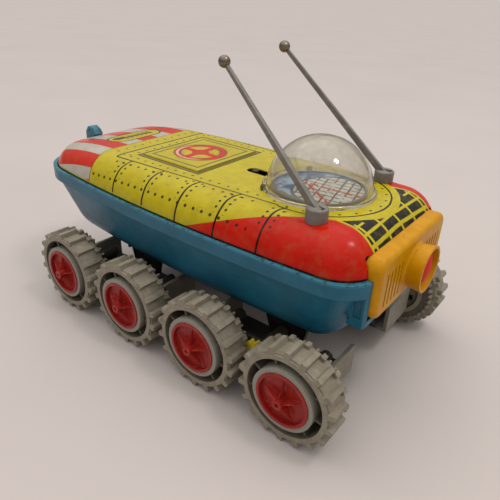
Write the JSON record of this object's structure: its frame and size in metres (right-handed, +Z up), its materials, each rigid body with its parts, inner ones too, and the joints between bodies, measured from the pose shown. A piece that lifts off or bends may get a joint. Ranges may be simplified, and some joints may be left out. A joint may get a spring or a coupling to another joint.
{
  "type": "wind-up tin space rover",
  "caption": "Clockwork toy space rover: a lithographed tin body with a clear dome on a plastic hull, on rocking two-wheel bogies with geared drive, and folding antennas.",
  "frame": {"origin": "on the ground, at the middle of the rover's length and width", "axes": "+X forward towards the nose, +Y to the rover's left, +Z up"},
  "size_m": [0.2224, 0.1304, 0.1416],
  "materials": {
    "hull_blue": "moulded gloss",
    "tin_litho": "lithographed tin, satin gloss",
    "dial_print": "printed tin",
    "dome_clear": "clear moulded plastic, slightly yellowed",
    "nose_yellow": "moulded gloss",
    "lens_red": "translucent red",
    "wheel_grey": "moulded matt",
    "hub_red": "moulded satin",
    "chassis_grey": "moulded matt",
    "bracket_black": "black lacquer",
    "gear_yellow": "moulded matt",
    "antenna_grey": "moulded matt",
    "bright_ball": "bright metal",
    "steel": "rolled",
    "spring_steel": "blued",
    "brass": "stamped"
  },
  "bodies": {
    "chassis": {"hull_tub": "hull_blue", "tin_top": "tin_litho", "dial_disc": "dial_print", "dome": "dome_clear", "nose_panel": "nose_yellow", "nose_lens": "lens_red", "tail_hook": "hull_blue", "bracket_screws": "steel", "antenna_boss_left": "antenna_grey", "antenna_boss_right": "antenna_grey", "bracket_front": "bracket_black", "bracket_rear": "bracket_black", "motor_plate_left": "steel", "motor_plate_right": "steel", "motor_pillars": "steel", "mainspring": "spring_steel"},
    "antenna_left": {"antenna_left": "antenna_grey", "antenna_ball_left": "bright_ball"},
    "antenna_right": {"antenna_right": "antenna_grey", "antenna_ball_right": "bright_ball"},
    "bogie_front_left": {"bogie_front_left": "chassis_grey", "stub_axles_front_left": "steel"},
    "bogie_front_right": {"bogie_front_right": "chassis_grey", "stub_axles_front_right": "steel"},
    "bogie_rear_left": {"bogie_rear_left": "chassis_grey", "stub_axles_rear_left": "steel"},
    "bogie_rear_right": {"bogie_rear_right": "chassis_grey", "stub_axles_rear_right": "steel"},
    "wheel_left_1": {"wheel_left_1": "wheel_grey", "hub_cap_left_1": "hub_red"},
    "wheel_right_1": {"wheel_right_1": "wheel_grey", "hub_cap_right_1": "hub_red"},
    "wheel_left_2": {"wheel_left_2": "wheel_grey", "hub_cap_left_2": "hub_red"},
    "wheel_right_2": {"wheel_right_2": "wheel_grey", "hub_cap_right_2": "hub_red"},
    "wheel_left_3": {"wheel_left_3": "wheel_grey", "hub_cap_left_3": "hub_red"},
    "wheel_right_3": {"wheel_right_3": "wheel_grey", "hub_cap_right_3": "hub_red"},
    "wheel_left_4": {"wheel_left_4": "wheel_grey", "hub_cap_left_4": "hub_red"},
    "wheel_right_4": {"wheel_right_4": "wheel_grey", "hub_cap_right_4": "hub_red"},
    "shaft_front": {"cross_shaft_front": "steel", "shaft_gear": "gear_yellow"},
    "pinion_front_left": {"pinion_front_left": "gear_yellow"},
    "pinion_front_right": {"pinion_front_right": "gear_yellow"},
    "shaft_rear": {"cross_shaft_rear": "steel"},
    "pinion_rear_left": {"pinion_rear_left": "gear_yellow"},
    "pinion_rear_right": {"pinion_rear_right": "gear_yellow"},
    "great_wheel": {"great_wheel": "brass"},
    "second_wheel": {"second_wheel": "brass"},
    "governor": {"governor": "brass"},
    "winding_key": {"winding_key": "steel"},
    "stop_lever": {"stop_lever": "bracket_black"}
  },
  "joints": [
    {"name": "antenna_left_fold", "type": "hinge", "parent": "chassis", "child": "antenna_left", "pos_m": [0.0733, 0.0298, 0.0879], "axis": [-0.1908, 0.9816, 0], "range_deg": [-30, 46.9]},
    {"name": "antenna_right_fold", "type": "hinge", "parent": "chassis", "child": "antenna_right", "pos_m": [0.0733, -0.0298, 0.0879], "axis": [0.1908, 0.9816, 0], "range_deg": [-26, 51]},
    {"name": "bogie_front_left_rock", "type": "hinge", "parent": "chassis", "child": "bogie_front_left", "pos_m": [0.0606, 0.034, 0.0225], "axis": [0, 1, 0], "range_deg": [-8, 8]},
    {"name": "bogie_front_right_rock", "type": "hinge", "parent": "chassis", "child": "bogie_front_right", "pos_m": [0.0606, -0.034, 0.0225], "axis": [0, 1, 0], "range_deg": [-8, 8]},
    {"name": "bogie_rear_left_rock", "type": "hinge", "parent": "chassis", "child": "bogie_rear_left", "pos_m": [-0.0354, 0.034, 0.0225], "axis": [0, 1, 0], "range_deg": [-8, 8]},
    {"name": "bogie_rear_right_rock", "type": "hinge", "parent": "chassis", "child": "bogie_rear_right", "pos_m": [-0.0354, -0.034, 0.0225], "axis": [0, 1, 0], "range_deg": [-8, 8]},
    {"name": "wheel_left_1_spin", "type": "hinge", "parent": "bogie_front_left", "child": "wheel_left_1", "pos_m": [0.0846, 0.055, 0.0225], "axis": [0, 1, 0], "continuous": true},
    {"name": "wheel_right_1_spin", "type": "hinge", "parent": "bogie_front_right", "child": "wheel_right_1", "pos_m": [0.0846, -0.055, 0.0225], "axis": [0, 1, 0], "continuous": true},
    {"name": "wheel_left_2_spin", "type": "hinge", "parent": "bogie_front_left", "child": "wheel_left_2", "pos_m": [0.0366, 0.055, 0.0225], "axis": [0, 1, 0], "continuous": true},
    {"name": "wheel_right_2_spin", "type": "hinge", "parent": "bogie_front_right", "child": "wheel_right_2", "pos_m": [0.0366, -0.055, 0.0225], "axis": [0, 1, 0], "continuous": true},
    {"name": "wheel_left_3_spin", "type": "hinge", "parent": "bogie_rear_left", "child": "wheel_left_3", "pos_m": [-0.0114, 0.055, 0.0225], "axis": [0, 1, 0], "continuous": true},
    {"name": "wheel_right_3_spin", "type": "hinge", "parent": "bogie_rear_right", "child": "wheel_right_3", "pos_m": [-0.0114, -0.055, 0.0225], "axis": [0, 1, 0], "continuous": true},
    {"name": "wheel_left_4_spin", "type": "hinge", "parent": "bogie_rear_left", "child": "wheel_left_4", "pos_m": [-0.0594, 0.055, 0.0225], "axis": [0, 1, 0], "continuous": true},
    {"name": "wheel_right_4_spin", "type": "hinge", "parent": "bogie_rear_right", "child": "wheel_right_4", "pos_m": [-0.0594, -0.055, 0.0225], "axis": [0, 1, 0], "continuous": true},
    {"name": "shaft_front_spin", "type": "hinge", "parent": "chassis", "child": "shaft_front", "pos_m": [0.0606, 0, 0.0225], "axis": [0, 1, 0], "continuous": true},
    {"name": "pinion_front_left_spin", "type": "hinge", "parent": "bogie_front_left", "child": "pinion_front_left", "pos_m": [0.0606, 0.0465, 0.0225], "axis": [0, 1, 0], "continuous": true},
    {"name": "pinion_front_right_spin", "type": "hinge", "parent": "bogie_front_right", "child": "pinion_front_right", "pos_m": [0.0606, -0.0465, 0.0225], "axis": [0, 1, 0], "continuous": true},
    {"name": "shaft_rear_spin", "type": "hinge", "parent": "chassis", "child": "shaft_rear", "pos_m": [-0.0354, 0, 0.0225], "axis": [0, 1, 0], "continuous": true},
    {"name": "pinion_rear_left_spin", "type": "hinge", "parent": "bogie_rear_left", "child": "pinion_rear_left", "pos_m": [-0.0354, 0.0465, 0.0225], "axis": [0, 1, 0], "continuous": true},
    {"name": "pinion_rear_right_spin", "type": "hinge", "parent": "bogie_rear_right", "child": "pinion_rear_right", "pos_m": [-0.0354, -0.0465, 0.0225], "axis": [0, 1, 0], "continuous": true},
    {"name": "great_wheel_spin", "type": "hinge", "parent": "chassis", "child": "great_wheel", "pos_m": [0.04195, 0.004, 0.0596], "axis": [0, 1, 0], "continuous": true},
    {"name": "second_wheel_spin", "type": "hinge", "parent": "chassis", "child": "second_wheel", "pos_m": [0.0606, 0.004, 0.0445], "axis": [0, 1, 0], "continuous": true},
    {"name": "governor_spin", "type": "hinge", "parent": "chassis", "child": "governor", "pos_m": [0.0686, -0.003, 0.05836], "axis": [0, 1, 0], "continuous": true},
    {"name": "key_wind", "type": "hinge", "parent": "chassis", "child": "winding_key", "pos_m": [0.04195, 0.004, 0.0596], "axis": [0, 1, 0], "continuous": true},
    {"name": "stop_lever_slide", "type": "slide", "parent": "chassis", "child": "stop_lever", "axis": [1, 0, 0], "range_m": [0, 0.004]}
  ],
  "couplings": [
    {"joint": "second_wheel_spin", "follows": "great_wheel_spin", "ratio": -3},
    {"joint": "shaft_front_spin", "follows": "great_wheel_spin", "ratio": 3.6},
    {"joint": "governor_spin", "follows": "great_wheel_spin", "ratio": 9},
    {"joint": "pinion_front_left_spin", "follows": "great_wheel_spin", "ratio": 3.6},
    {"joint": "wheel_left_1_spin", "follows": "great_wheel_spin", "ratio": -1.2},
    {"joint": "wheel_left_2_spin", "follows": "great_wheel_spin", "ratio": -1.2},
    {"joint": "pinion_front_right_spin", "follows": "great_wheel_spin", "ratio": 3.6},
    {"joint": "wheel_right_1_spin", "follows": "great_wheel_spin", "ratio": -1.2},
    {"joint": "wheel_right_2_spin", "follows": "great_wheel_spin", "ratio": -1.2},
    {"joint": "pinion_rear_left_spin", "follows": "wheel_left_3_spin", "ratio": -3},
    {"joint": "wheel_left_4_spin", "follows": "wheel_left_3_spin", "ratio": 1},
    {"joint": "pinion_rear_right_spin", "follows": "wheel_left_3_spin", "ratio": -3},
    {"joint": "wheel_right_3_spin", "follows": "wheel_left_3_spin", "ratio": 1},
    {"joint": "wheel_right_4_spin", "follows": "wheel_left_3_spin", "ratio": 1},
    {"joint": "shaft_rear_spin", "follows": "wheel_left_3_spin", "ratio": -3}
  ]
}
